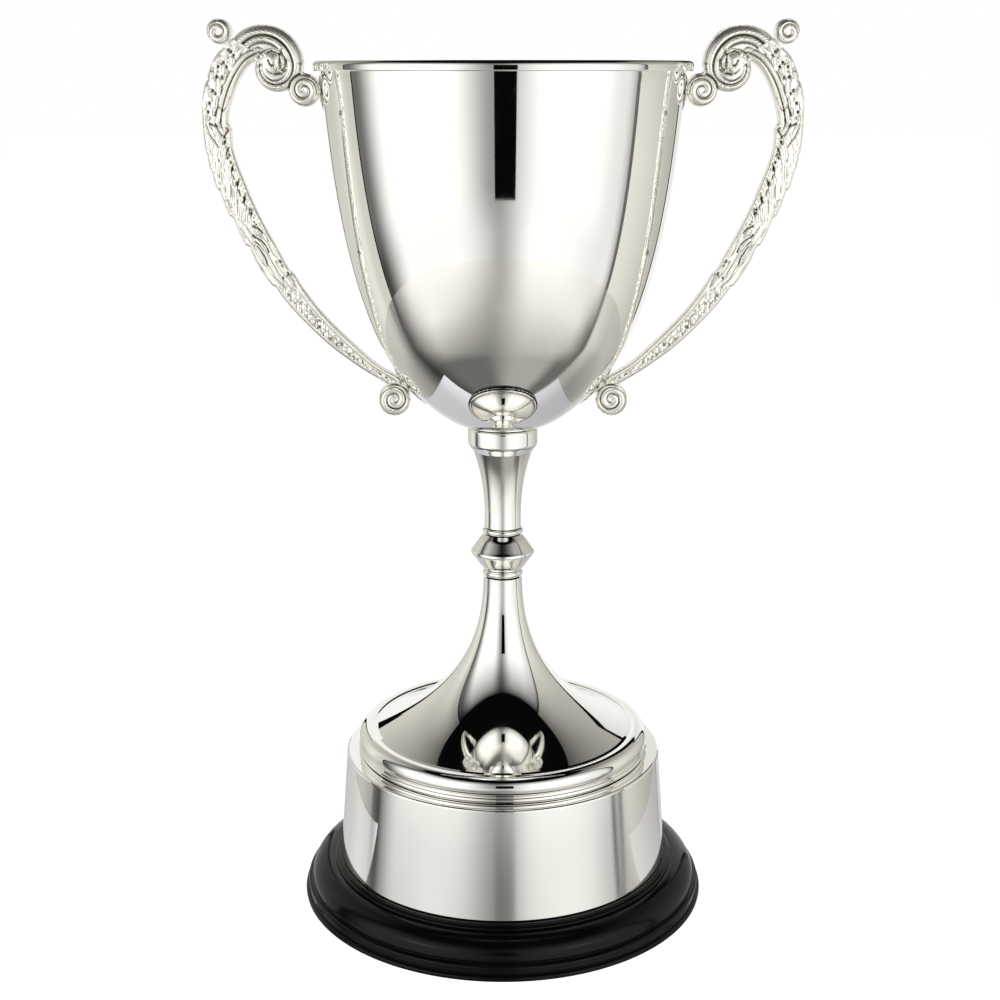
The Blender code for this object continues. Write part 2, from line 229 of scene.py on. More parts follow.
def arc(centre, radius, start, end, count):
    """Points on a circle between two angles, in degrees counterclockwise from +r."""
    angles = np.radians(np.linspace(start, end, count + 1))
    return [(centre[0] + radius * math.cos(a), centre[1] + radius * math.sin(a)) for a in angles]


def bezier(start, first, second, end, count):
    points = []
    for t in np.linspace(0.0, 1.0, count + 1):
        weights = ((1 - t) ** 3, 3 * t * (1 - t) ** 2, 3 * t * t * (1 - t), t ** 3)
        corners = (start, first, second, end)
        points.append(tuple(sum(w * c[k] for w, c in zip(weights, corners)) for k in (0, 1)))
    return points


def smooth_through(points, count):
    """A Catmull-Rom curve through the points, with this many steps in each span."""
    ends = [points[0], *points, points[-1]]
    curve = [points[0]]
    for a, b, c, d in zip(ends, ends[1:], ends[2:], ends[3:]):
        for step in range(1, count + 1):
            t = step / count
            curve.append(tuple(
                0.5 * (2 * b[k] + (c[k] - a[k]) * t + (2 * a[k] - 5 * b[k] + 4 * c[k] - d[k]) * t * t
                       + (3 * b[k] - a[k] - 3 * c[k] + d[k]) * t ** 3)
                for k in (0, 1)))
    return curve


def rounded(points, radius, count=4):
    """The open line of points with each inner corner rounded off."""
    line = [points[0]]
    for before, corner, after in zip(points, points[1:], points[2:]):
        c = Vector(corner)
        back, on = Vector(before) - c, Vector(after) - c
        reach = min(radius, back.length * 0.45, on.length * 0.45)
        start, end = c + back.normalized() * reach, c + on.normalized() * reach
        for t in np.linspace(0.0, 1.0, count + 1):
            line.append(tuple(start * (1 - t) ** 2 + c * 2 * t * (1 - t) + end * t * t))
    return [*line, points[-1]]


def offset_in(curve, distance):
    """The curve moved towards the axis; it has to run from its top down."""
    line = np.array(curve)
    along = np.gradient(line, axis=0)
    along /= np.linalg.norm(along, axis=1)[:, None]
    return [tuple(p) for p in line + distance * np.column_stack((along[:, 1], -along[:, 0]))]


def make_piece(name, verts, faces, slot, nodes, sharp=38.0, recess=None):
    """A smooth-shaded object from points in millimetres, riding for the CAD nodes it stands for."""
    mesh = bpy.data.meshes.new(name)
    mesh.from_pydata((np.asarray(verts) * MM).tolist(), [], faces)
    mesh.validate()
    shape = bmesh.new()
    shape.from_mesh(mesh)
    bmesh.ops.recalc_face_normals(shape, faces=shape.faces)
    shape.to_mesh(mesh)
    shape.free()
    # recess values, when given, carry painted shade and tarnish for the cast silver material
    if recess is not None:
        keep_values(mesh, "recess", recess)
    mesh.shade_smooth()
    mesh.set_sharp_from_angle(angle=math.radians(sharp))
    mesh.materials.append(FINISHES[slot])
    piece = add_object(name, mesh)
    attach(piece, BODY)
    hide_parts(*nodes)


SUPPORT = 0.15  # distance of a supporting ring from the corner that it protects


def supported(profile):
    """The closed profile with a ring beside each small corner, so that long faces shade flat."""
    line = []
    count = len(profile)
    for k in range(count):
        before, here, after, beyond = (Vector(profile[(k + step) % count]) for step in (-1, 0, 1, 2))
        length = (after - here).length
        line.append(tuple(here))
        if length > 2.5 * max((here - before).length, 1e-6) and length > 4 * SUPPORT:
            line.append(tuple(here + (after - here) * SUPPORT / length))
        if length > 2.5 * max((beyond - after).length, 1e-6) and length > 4 * SUPPORT:
            line.append(tuple(after - (after - here) * SUPPORT / length))
    return line


def turned(name, profile, slot, nodes, sides=FINE):
    """A closed profile of (radius, height) points spun round the Z axis."""
    profile = supported(profile)
    count = len(profile)
    angles = 2 * math.pi * np.arange(sides) / sides
    verts = [(r * math.cos(a), r * math.sin(a), z) for a in angles for r, z in profile]
    faces = []
    for side in range(sides):
        near, far = side * count, (side + 1) % sides * count
        for k in range(count):
            after = (k + 1) % count
            faces.append((near + k, far + k, far + after, near + after))
    make_piece(name, verts, faces, slot, nodes)


# ---------- the cup

ROD_BORE = 3.3
BOWL_WALL = 1.0
BOWL_BASE_FLAT = 9.0  # radius of the flat seat under the bowl


def bowl_wall():
    """The outer wall from the mouth down to the seat."""
    mouth, seat, top = ring_of("bowl")
    upper = bezier((mouth - 0.1, top - 5.7), (68.0, 311.2), (64.4, 274.2), (51.8, 243.7), 60)
    lower = bezier((51.8, 243.7), (44.4, 225.9), (24.9, seat), (BOWL_BASE_FLAT, seat), 60)
    return [(mouth, top), *upper, *lower[1:]]


def make_bowl():
    outer = bowl_wall()
    inner = offset_in(outer, BOWL_WALL)
    inner[0] = (outer[0][0] - BOWL_WALL, outer[0][1])
    seat = outer[-1][1]
    profile = [*outer, (ROD_BORE, seat), (ROD_BORE, seat + BOWL_WALL), *reversed(inner)]
    turned("bowl_shell", profile, "silver_plate", ["bowl"])


def make_rim():
    """The rolled lip: a soft round top edge, a plain face and a small return under it."""
    radius, low, top = ring_of("rim_band")
    inside = ring_of("bowl")[0] + 0.15
    edge = inside - 1.5
    profile = [
        (edge, top - 0.5), *arc((edge + 0.5, top - 0.5), 0.5, 180, 90, 5),
        *arc((radius - 1.8, top - 1.8), 1.8, 90, 8, 12),
        *arc((radius - 0.6, low + 0.6), 0.6, 0, -90, 8),
        (inside, low), (inside, top - 0.7),
    ]
    turned("rim_lip", profile, "silver_plate", ["rim_band"])


def make_stem():
    radius, low, high = ring_of("stem_collar")
    collar = [
        (ROD_BORE, low), (radius - 0.5, low), *arc((radius - 0.4, (low + high) / 2), 0.4, -80, 80, 8),
        (radius - 0.5, high), (ROD_BORE, high)]
    turned("stem_neck", collar, "silver_plate", ["stem_collar"], SMALL)

    radius, low, high = ring_of("upper_stem")
    dish = high - 1.7
    cap_bottom = high - 6.5
    waist = bezier((12.4, high - 9.9), (9.6, high - 17.4), (7.2, high - 26.9), (7.75, low), 60)
    shoulder = rounded([
        (radius, high - 1.6), (radius, cap_bottom), (radius - 0.4, cap_bottom - 1.0), waist[0],
        waist[1]], 0.5)
    profile = [
        (ROD_BORE, dish), (10.3, dish), *bezier((10.6, dish), (12.0, dish + 0.2), (12.4, high - 0.2),
                                              (13.3, high), 12),
        *arc((radius - 1.1, high - 1.1), 1.1, 90, 0, 10), *shoulder[1:-1], *waist[1:],
        (ROD_BORE, low)]
    turned("stem_waist", profile, "silver_plate", ["upper_stem"], SMALL)

    for node, name in (("upper_ring", "ring_above_knop"), ("lower_ring", "ring_below_knop")):
        radius, low, high = ring_of(node)
        middle, half = (low + high) / 2, (high - low) / 2
        ring = [
            (ROD_BORE, high), (radius - half - 0.1, high), *arc((radius - half, middle), half, 88, -88, 20),
            (radius - half - 0.1, low), (ROD_BORE, low)]
        turned(name, ring, "silver_plate", [node], SMALL)

    radius, low, high = ring_of("knop")
    middle = (low + high) / 2
    face = rounded([
        (8.0, high), (9.6, high - 1.8), (radius - 0.7, middle + 1.4), (radius, middle + 0.5),
        (radius, middle - 0.5), (radius - 0.7, middle - 1.4), (9.6, low + 1.8), (8.0, low)], 0.7, 6)
    turned("stem_knop", [(ROD_BORE, high), *face, (ROD_BORE, low)], "silver_plate", ["knop"], SMALL)


FOOT_WALL = 1.2
BEAD_CENTRE = (57.1, 70.3)
BEAD_RADIUS = 4.5


def make_foot():
    """The trumpet, its rolled bead, the groove below the bead and the thin rim that it rests on."""
    radius, low, high = ring_of("foot")
    flare = bezier((8.2, high), (8.2, 107.0), (23.9, 86.8), (54.6, 74.2), 110)
    bead = arc(BEAD_CENTRE, BEAD_RADIUS, 118, -42, 50)
    rim = [(bead[-1][0] + 0.05, bead[-1][1] - 0.3), *arc((radius - 1.1, low + 1.25), 1.1, 88, -60, 14)]
    hollow = [point for point in offset_in(flare, FOOT_WALL) if 76.0 < point[1] < 108.0]
    inside = [
        (ROD_BORE, high), (ROD_BORE, 118.0), (7.0, 113.5), *hollow,
        *arc(BEAD_CENTRE, BEAD_RADIUS - FOOT_WALL, 70, -30, 10), (radius - 2.6, low + 2.0),
        (radius - 2.6, low)]
    profile = [*flare, *bead, *rim, (radius - 0.7, low), *reversed(inside)]
    turned("foot_trumpet", profile, "silver_plate", ["foot"])


def make_plinth():
    """The silver drum round the plinth, and the black plinth with its base moulding."""
    radius, low, high = ring_of("plinth_band")
    top_radius = 67.1
    inner = 40.0
    wall = 1.0
    corner = arc((top_radius - 1.0, high - 1.0), 1.0, 90, 5, 10)
    band = [
        (inner, high), *corner, (radius, low + 0.4), (radius - 0.2, low), (radius - wall, low),
        (top_radius - wall, high - wall), (inner, high - wall)]
    turned("plinth_drum", band, "silver_plate", ["plinth_band"])

    base, bottom, top = ring_of("plinth")
    seat = 17.7
    steps = rounded([
        (70.1, seat), (72.0, seat), (72.25, 17.1), (72.0, 16.5), (72.9, 16.45), (73.35, 15.9),
        (73.1, 15.2)], 0.25, 3)
    ovolo = [
        (73.8 + 9.5 * math.sin(a), 7.4 + 7.8 * math.cos(a))
        for a in np.radians(np.linspace(2, 88, 40))]
    foot_line = rounded([
        ovolo[-1], (82.9, 6.75), (84.3, 6.7), (85.2, 6.1), (85.2, 3.4), (84.75, 2.8), (85.7, 2.65),
        (base, 2.1), (base, 0.9), (base - 0.5, bottom), (82.0, bottom)], 0.45, 5)
    recess, depth = 80.3, 1.5
    bore, bore_top = 13.0, 16.0
    profile = [
        (ROD_BORE, top), (top_radius - 1.4, top), *steps, *ovolo, *foot_line[1:],
        (recess, bottom), (recess, depth), (bore, depth), (bore, bore_top), (ROD_BORE, bore_top)]
    turned("plinth_base", profile, "black_lacquer", ["plinth"])


def make_baize():
    """A felt disc whose cut edge is a little ragged."""
    radius, low, high = ring_of("baize_pad")
    sides, rings = 360, 24
    chance = np.random.default_rng(11)
    ragged = radius - 0.35 + 0.3 * np.convolve(chance.random(sides + 4), np.ones(5) / 5, "valid")
    verts = [(0.0, 0.0, high)]
    for ring in range(1, rings + 1):
        for side in range(sides):
            angle = 2 * math.pi * side / sides
            reach = ragged[side] * ring / rings
            verts.append((reach * math.cos(angle), reach * math.sin(angle), high))
    count = len(verts)
    verts += [(x, y, low) for x, y, z in verts]
    faces = []
    for side in range(sides):
        after = (side + 1) % sides
        faces.append((0, 1 + side, 1 + after))
        faces.append((count, count + 1 + after, count + 1 + side))
        for ring in range(rings - 1):
            a, b = 1 + ring * sides, 1 + (ring + 1) * sides
            faces.append((a + side, b + side, b + after, a + after))
            faces.append((count + a + after, count + b + after, count + b + side, count + a + side))
        rim = 1 + (rings - 1) * sides
        faces.append((rim + side, count + rim + side, count + rim + after, rim + after))
    make_piece("baize_disc", verts, faces, "green_baize", ["baize_pad"])


# ---------- the handles' flat outline

ARC_CENTRE, ARC_RADIUS = (92.9, 348.5), 15.2
ARC_START = 42.0  # where the strap leaves the volute's crest, in degrees
VOLUTE = (88.6, 348.8)  # the middle of the spiral
VOLUTE_TURNS = (
    (200.0, 10.95), (235.0, 10.8), (270.0, 10.35), (315.0, 8.9), (360.0, 7.3), (405.0, 6.2),
    (450.0, 5.3), (540.0, 4.2), (630.0, 3.4), (720.0, 2.8), (800.0, 2.4))
OUTER_EDGE = (
    (110.0, 353.4), (112.9, 349.0), (116.6, 338.5), (117.4, 329.0), (116.4, 315.5), (113.4, 303.5),
    (106.9, 288.8), (98.4, 273.0), (88.3, 258.0), (72.6, 241.2), (58.5, 230.2), (47.2, 223.2))
INNER_EDGE = (
    (41.8, 221.5), (42.4, 225.2), (53.5, 232.6), (70.4, 248.8), (79.0, 259.5), (87.8, 273.0),
    (96.6, 289.5), (102.4, 303.5), (106.6, 316.5), (107.5, 328.0), (104.7, 338.9), (99.4, 347.6),
    (94.2, 351.0))
OUTER_STEPS = (  # height and how far the outer edge stands out there
    (255.0, 0.0), (262.2, -0.45), (263.2, 0.25), (268.5, 0.5), (273.5, 0.35), (278.3, -0.6), (279.4, 0.5),
    (284.0, 0.35), (289.7, -0.45), (290.8, 0.45), (294.5, 0.3), (300.2, -0.45), (301.3, 0.4),
    (308.6, -0.15), (309.6, 0.3), (314.4, -0.15), (315.4, 0.25), (329.0, 0.0))
INNER_STEPS = (
    (262.0, 0.0), (267.2, -0.35), (269.6, 0.5), (272.0, 0.35), (276.0, 0.0), (316.0, 0.0),
    (324.4, -0.9), (326.4, 0.4), (336.0, 0.0))
INNER_END = ((86.0, 346.0), (79.0, 344.5))
TOP_SCROLL = ((109.9, 360.9), 4.9)
NECK_SCROLL = ((77.4, 339.1), 6.4)
LOWER_SCROLL = ((44.2, 216.6), 6.6)
LINKS = (  # small bosses that meet the pads: ends and radius
    ((73.6, 338.2), (71.4, 338.2), 1.0),
    ((41.6, 219.0), (39.4, 221.0), 1.8))
EDGE_HALF = 2.5  # half thickness at the outline
STRAP_HALF, EYE_HALF, TOP_HALF, NECK_HALF, LOWER_HALF = 3.5, 4.3, 3.7, 3.8, 3.3


def line_distance(x, z, line):
    """Distance to a line of points, and how far along the line its nearest point lies."""
    best, along = np.full(x.shape, 1e6), np.zeros(x.shape)
    start = 0.0
    for (ax, az), (bx, bz) in zip(line, line[1:]):
        dx, dz = bx - ax, bz - az
        length = math.hypot(dx, dz)
        share = np.clip(((x - ax) * dx + (z - az) * dz) / length ** 2, 0.0, 1.0)
        gap = np.hypot(x - ax - share * dx, z - az - share * dz)
        closer = gap < best
        best = np.where(closer, gap, best)
        along = np.where(closer, start + share * length, along)
        start += length
    return best, along


def outline_depth(x, z, line):
    """How far inside a closed outline each point is; negative outside."""
    closed = [*line, line[0]]
    odd = np.zeros(x.shape, bool)
    for (ax, az), (bx, bz) in zip(closed, closed[1:]):
        if az != bz:
            odd ^= ((az > z) != (bz > z)) & (x < (bx - ax) * (z - az) / (bz - az) + ax)
    return line_distance(x, z, closed)[0] * np.where(odd, 1.0, -1.0)


def merged(first, second, blend):
    """The larger of two depths, with a soft fillet of this size where they meet."""
    near = np.clip(1.0 - np.abs(first - second) / blend, 0.0, None)
    return np.maximum(first, second) + near * near * blend / 4


def rise(value, start, end):
    """0 before start, 1 after end, and a smooth rise between."""
    t = np.clip((value - start) / (end - start), 0.0, 1.0)
    return t * t * (3 - 2 * t)


def bell(value, centre, width):
    return np.exp(-((value - centre) / width) ** 2)


def volute_table():
    """The spiral's outer edge as angles about VOLUTE, in degrees, and radii."""
    crest = np.array(arc(ARC_CENTRE, ARC_RADIUS, ARC_START, 180.0, 60)) - VOLUTE
    angles = np.degrees(np.unwrap(np.arctan2(crest[:, 1], crest[:, 0])))
    radii = np.hypot(crest[:, 0], crest[:, 1])
    turns = np.array(VOLUTE_TURNS)
    every = np.arange(angles[0], VOLUTE_TURNS[-1][0])
    radius = np.interp(every, np.append(angles, turns[:, 0]), np.append(radii, turns[:, 1]))
    reach = 12
    padded = np.pad(radius, reach, "edge")
    smooth = np.convolve(padded, np.ones(2 * reach + 1) / (2 * reach + 1), "valid")
    late = rise(every, 150.0, 190.0)
    return every, radius * (1 - late) + smooth * late


SPIRAL_ANGLE, SPIRAL_RADIUS = volute_table()


def stepped(line, steps, side):
    """The edge line with its scallops: moved across itself by the step given for each height."""
    points = np.array(line)
    along = np.gradient(points, axis=0)
    along /= np.linalg.norm(along, axis=1)[:, None]
    heights, moves = zip(*steps)
    move = np.interp(points[:, 1], heights, moves) * (points[:, 0] > 60.0) * side
    return [tuple(p) for p in points + move[:, None] * np.column_stack((-along[:, 1], along[:, 0]))]


def eye_outline():
    angles = np.arange(100.0, 400.0, 2.0)
    radii = np.interp(angles, SPIRAL_ANGLE, SPIRAL_RADIUS)
    turned_angles = np.radians(angles)
    return list(zip(VOLUTE[0] + radii * np.cos(turned_angles), VOLUTE[1] + radii * np.sin(turned_angles)))


def casting_depth(x, z, outer, inner):
    """Depth inside the whole casting's outline."""
    crest = arc(ARC_CENTRE, ARC_RADIUS, 180.0, ARC_START, 60)
    depth = outline_depth(x, z, [*crest, *outer, *inner, *INNER_END])
    depth = merged(depth, outline_depth(x, z, eye_outline()), 0.6)
    for centre, radius in (TOP_SCROLL, NECK_SCROLL, LOWER_SCROLL):
        depth = merged(depth, radius - np.hypot(x - centre[0], z - centre[1]), 1.2)
    for start, end, radius in LINKS:
        depth = merged(depth, radius - line_distance(x, z, (start, end))[0], 0.8)
    return depth


# ---------- the handles' relief

PITS = (  # deep drilled-looking hollows between the leaves: x, z, size
    (106.1, 354.3, 0.55), (105.1, 353.4, 0.5), (104.2, 352.1, 0.55), (108.3, 349.5, 0.6),
    (107.2, 348.0, 0.45), (110.3, 348.0, 0.5), (111.1, 344.2, 0.5), (109.0, 343.9, 0.55),
    (112.8, 339.0, 0.55), (111.8, 337.9, 0.5), (114.2, 334.2, 0.5), (115.1, 330.9, 0.4),
    (104.6, 359.2, 0.5), (107.9, 324.4, 0.8), (109.0, 319.4, 0.7), (107.6, 314.6, 0.6),
    (108.2, 313.4, 0.4), (106.9, 311.6, 0.4), (106.4, 309.0, 0.55), (104.9, 303.4, 0.65),
    (102.4, 297.6, 0.6), (102.6, 296.4, 0.45), (100.2, 293.2, 0.6), (100.3, 291.9, 0.45),
    (98.6, 288.5, 0.3), (97.9, 287.4, 0.3), (89.0, 272.9, 0.55), (88.2, 271.2, 0.35),
    (85.8, 268.1, 0.75), (88.0, 266.1, 0.35), (91.0, 262.6, 0.4))
CREASES = (  # cut lines: points, width, depth
    (((99.4, 283.2), (97.8, 282.1), (96.0, 280.9), (94.4, 279.2), (93.3, 276.6)), 0.32, 0.62),
    (((99.0, 281.0), (97.2, 279.6), (95.4, 277.6)), 0.24, 0.35),
    (((97.9, 278.9), (96.9, 277.8), (96.0, 276.4), (94.8, 274.6), (94.1, 271.6)), 0.28, 0.50),
    (((98.9, 286.8), (97.4, 286.0), (95.4, 284.2)), 0.40, 0.70),
    (((99.3, 290.0), (99.6, 287.6), (99.4, 284.8)), 0.24, 0.35),
    (((106.6, 306.9), (105.9, 305.4)), 0.34, 0.55), (((104.5, 301.0), (103.7, 299.0)), 0.34, 0.55),
    (((101.9, 295.4), (101.2, 293.8)), 0.34, 0.50), (((99.4, 291.8), (98.9, 290.3)), 0.30, 0.45),
    (((108.6, 317.7), (107.6, 315.9)), 0.34, 0.55), (((87.0, 271.0), (85.4, 269.6)), 0.42, 0.60),
    (((91.2, 353.0), (89.3, 353.7), (86.4, 352.5)), 0.36, 0.90),
    (((86.4, 352.5), (86.3, 350.0), (87.0, 347.6), (88.0, 346.4)), 0.22, 0.45),
    (((88.2, 345.0), (85.7, 345.4), (84.1, 346.8)), 0.32, 0.75),
    (((90.7, 350.3), (90.3, 349.0), (89.5, 348.2), (88.7, 348.3)), 0.34, 0.95),
    (((106.5, 336.0), (107.3, 333.0), (109.4, 331.2), (110.6, 333.4), (112.6, 329.6)), 0.28, 0.55),
    (((110.2, 327.8), (112.0, 325.4), (114.6, 326.6)), 0.28, 0.50),
    (((112.4, 326.2), (110.4, 322.4), (108.4, 320.8)), 0.30, 0.55),
    (((116.0, 326.6), (114.4, 321.8), (111.4, 317.6)), 0.26, 0.45))
LEAF_ZONE = (325.0, 287.0)  # heights between which the long fingered leaf runs
FINGER = 6.3  # spacing of the leaf's fingers along the strap


def lattice_noise(first, second, size, seed):
    """Smooth random values between 0 and 1, with one cell per size along each direction."""
    chance = np.random.default_rng(seed).random((256, 256))
    a, b = first / size, second / size
    i, j = np.floor(a).astype(int), np.floor(b).astype(int)
    u, v = a - i, b - j
    u, v = u * u * (3 - 2 * u), v * v * (3 - 2 * v)
    i, j = i % 255, j % 255
    low = chance[i, j] * (1 - u) + chance[i + 1, j] * u
    high = chance[i, j + 1] * (1 - u) + chance[i + 1, j + 1] * u
    return low * (1 - v) + high * v


def volute_relief(x, z):
    """Ridges and grooves that wind into the eye, and where they apply."""
    dx, dz = x - VOLUTE[0], z - VOLUTE[1]
    angle = np.degrees(np.arctan2(dz, dx)) % 360.0
    radius = np.hypot(dx, dz)
    gap, winding = np.full(x.shape, -1.0), angle.copy()
    for turn in range(3):
        reach = angle + 360.0 * turn
        edge = np.interp(reach, SPIRAL_ANGLE, SPIRAL_RADIUS)
        fits = (edge - radius > -0.4) & (reach >= SPIRAL_ANGLE[0])
        gap = np.where(fits, edge - radius, gap)
        winding = np.where(fits, reach, winding)
    inside = gap > -0.39
    scale = np.interp(winding, (110.0, 190.0, 270.0, 360.0, 480.0), (1.0, 0.82, 0.60, 0.44, 0.36))
    t = np.clip(gap, 0.0, None) / scale
    height = -1.7 * (1 - rise(t, -0.2, 2.0)) * np.interp(winding, (150, 300, 360, 420), (1, 0.8, 0.5, 0.3))
    height += scale * (0.35 * bell(t, 2.9, 0.8) - 1.15 * bell(t, 4.35, 0.5) + 0.4 * bell(t, 5.7, 0.8)
                       - 0.55 * bell(t, 7.2, 0.35))
    hatch = np.sin(2 * math.pi * winding * np.radians(1.0) * radius / 1.15)
    ridges = bell(t, 2.9, 0.8) + bell(t, 5.7, 0.9)
    height += 0.07 * hatch * ridges * (winding < 400)
    boss = np.hypot(x - 89.6, z - 349.8)
    height *= rise(boss, 2.4, 5.2)
    height += 0.7 * (1 - rise(boss, 0.8, 3.6))
    hollow = np.hypot((x - 85.2) / 1.9, (z - 350.2) / 4.6)
    stipple = lattice_noise(x, z, 0.75, 5) - 0.5
    height += (1 - rise(hollow, 0.7, 1.1)) * (0.35 * stipple - 0.75)
    return height, inside


def scroll_relief(x, z, centre, radius, pitch, start, turn):
    """A small scroll: a rim that winds in, with a groove behind it and a bead in the middle."""
    dx, dz = x - centre[0], z - centre[1]
    angle = turn * np.arctan2(dz, dx) / (2 * math.pi) + start
    distance = np.hypot(dx, dz)
    phase = ((radius - distance) / pitch - angle) % 1.0
    deep = rise(radius - distance, 0.4, 1.4)
    height = deep * (0.35 * np.sin(math.pi * phase) - 0.6 * bell(np.minimum(phase, 1 - phase), 0.0, 0.12))
    height *= rise(distance, 0.3, 1.4) * (0.55 + 0.45 * rise(distance, radius * 0.3, radius * 0.7))
    return height - 1.1 * (1 - rise(radius - distance, 0.0, 1.5))


def border_relief(inset):
    """Two plain ridges beside the strap's inner edge."""
    return (0.25 * bell(inset, 1.25, 0.55) - 0.75 * bell(inset, 2.25, 0.26) + 0.35 * bell(inset, 3.25, 0.6)
            - 0.5 * bell(inset, 4.35, 0.28))


def strap_relief(x, z, inset, run, outset):
    """Foliage above, a long fingered leaf in the middle, a stippled channel below."""
    upper = rise(z, LEAF_ZONE[0] - 1.5, LEAF_ZONE[0] + 1.5)
    from_leaf = rise(z, LEAF_ZONE[1] - 3, LEAF_ZONE[1] + 3)
    leaf = from_leaf * (1 - upper)
    middle = (1 - from_leaf) * rise(z, 260.0, 264.0)
    lower = 1 - rise(z, 260.0, 264.0)

    clumps = lattice_noise(run + 1.2 * inset, inset, 2.1, 21)
    crumbs = lattice_noise(run, inset * 1.3, 0.8, 22)
    foliage = 1.0 * (clumps - 0.5) + 0.34 * (crumbs - 0.5)
    fades = rise(inset, 3.6, 5.0)
    height = upper * (fades * foliage + (1 - 0.6 * fades) * border_relief(inset))

    drift = 0.9 * (lattice_noise(run, inset, 6.0, 23) - 0.5)
    curve = run - 1.05 * inset - 0.13 * inset ** 2 + drift
    finger = np.abs((curve / FINGER + 0.5) % 1.0 - 0.5) * FINGER
    vein = np.abs((curve * 3 / FINGER + 0.5) % 1.0 - 0.5) * FINGER / 3
    at_edge = bell(inset, 1.7, 1.0)
    cut = (0.22 + 0.60 * at_edge) * bell(finger, 0.0, 0.42 + 0.3 * at_edge)
    height += leaf * (0.22 - cut - (0.13 + 0.30 * bell(inset, 1.9, 0.8)) * bell(vein, 0.0, 0.28)
                      - 0.25 * bell(inset, 0.8, 0.25)
                      + 0.16 * (lattice_noise(curve * 0.3, inset, 1.3, 24) - 0.5))

    strands = lattice_noise(run / 7.0, inset + 0.05 * run, 0.9, 26) - 0.5
    height += middle * (0.65 * strands - 0.3 * bell(inset, 0.9, 0.25))

    grains = lattice_noise(x, z, 1.05, 25) - 0.5
    channel = rise(inset, 1.4, 2.2) * rise(outset, 1.0, 1.9)
    height += lower * (channel * (0.75 * grains - 0.35) - 0.5 * bell(inset, 1.35, 0.3)
                       + 0.25 * bell(inset, 0.6, 0.5))
    return height


def casting_height(x, z, depth, outer, inner):
    """Half thickness over the whole outline."""
    inset, run = line_distance(x, z, inner[::-1])
    outset = line_distance(x, z, outer)[0]
    spiral, in_spiral = volute_relief(x, z)
    relief = np.where(in_spiral, spiral, strap_relief(x, z, inset, run, outset))
    crossing = bell(inset, 0.0, 5.0) * rise(x, 92.0, 94.5) * rise(z, 340.0, 346.0) * in_spiral
    relief += crossing * border_relief(inset)
    full = np.full(x.shape, STRAP_HALF)
    full += (EYE_HALF - STRAP_HALF) * (1 - rise(np.hypot(x - VOLUTE[0], z - VOLUTE[1]), 11.0, 20.0))
    small = (
        (TOP_SCROLL, TOP_HALF, 2.5, 0.60, 1), (NECK_SCROLL, NECK_HALF, 2.6, 0.1, -1),
        (LOWER_SCROLL, LOWER_HALF, 2.7, 0.3, 1))
    for (centre, radius), half, pitch, start, turn in small:
        depth_here = radius - np.hypot(x - centre[0], z - centre[1])
        weight = rise(depth_here, -0.3, 0.5)
        relief = relief * (1 - weight) + weight * scroll_relief(x, z, centre, radius, pitch, start, turn)
        full = full * (1 - weight) + weight * half
    for px, pz, size in PITS:
        relief -= 1.1 * np.exp(-(np.hypot(x - px, z - pz) / size) ** 2)
    for points, width, cut in CREASES:
        relief -= cut * bell(line_distance(x, z, points)[0], 0.0, width)
    across, down = (x - 96.6) * 0.85 - (z - 273.5) * 0.53, (x - 96.6) * 0.53 + (z - 273.5) * 0.85
    lobe = np.hypot(across, down / 3.6)
    relief += 0.6 * (1 - rise(lobe, 0.6, 2.4))
    shoulder = 1 - (1 - np.clip(depth, 0.0, 1.3) / 1.3) ** 2
    return EDGE_HALF + (full - EDGE_HALF) * shoulder + relief * rise(depth, 0.0, 0.7)


def blurred(field, reach):
    """The field averaged over a square of grid steps, twice."""
    for _ in range(2):
        for axis in (0, 1):
            field = sum(np.roll(field, step, axis) for step in range(-reach, reach + 1)) / (2 * reach + 1)
    return field


def sampled(field, i, j):
    """The field's value between grid points."""
    a, b = np.floor(i).astype(int), np.floor(j).astype(int)
    u, v = i - a, j - b
    return ((field[a, b] * (1 - u) + field[a + 1, b] * u) * (1 - v)
            + (field[a, b + 1] * (1 - u) + field[a + 1, b + 1] * u) * v)


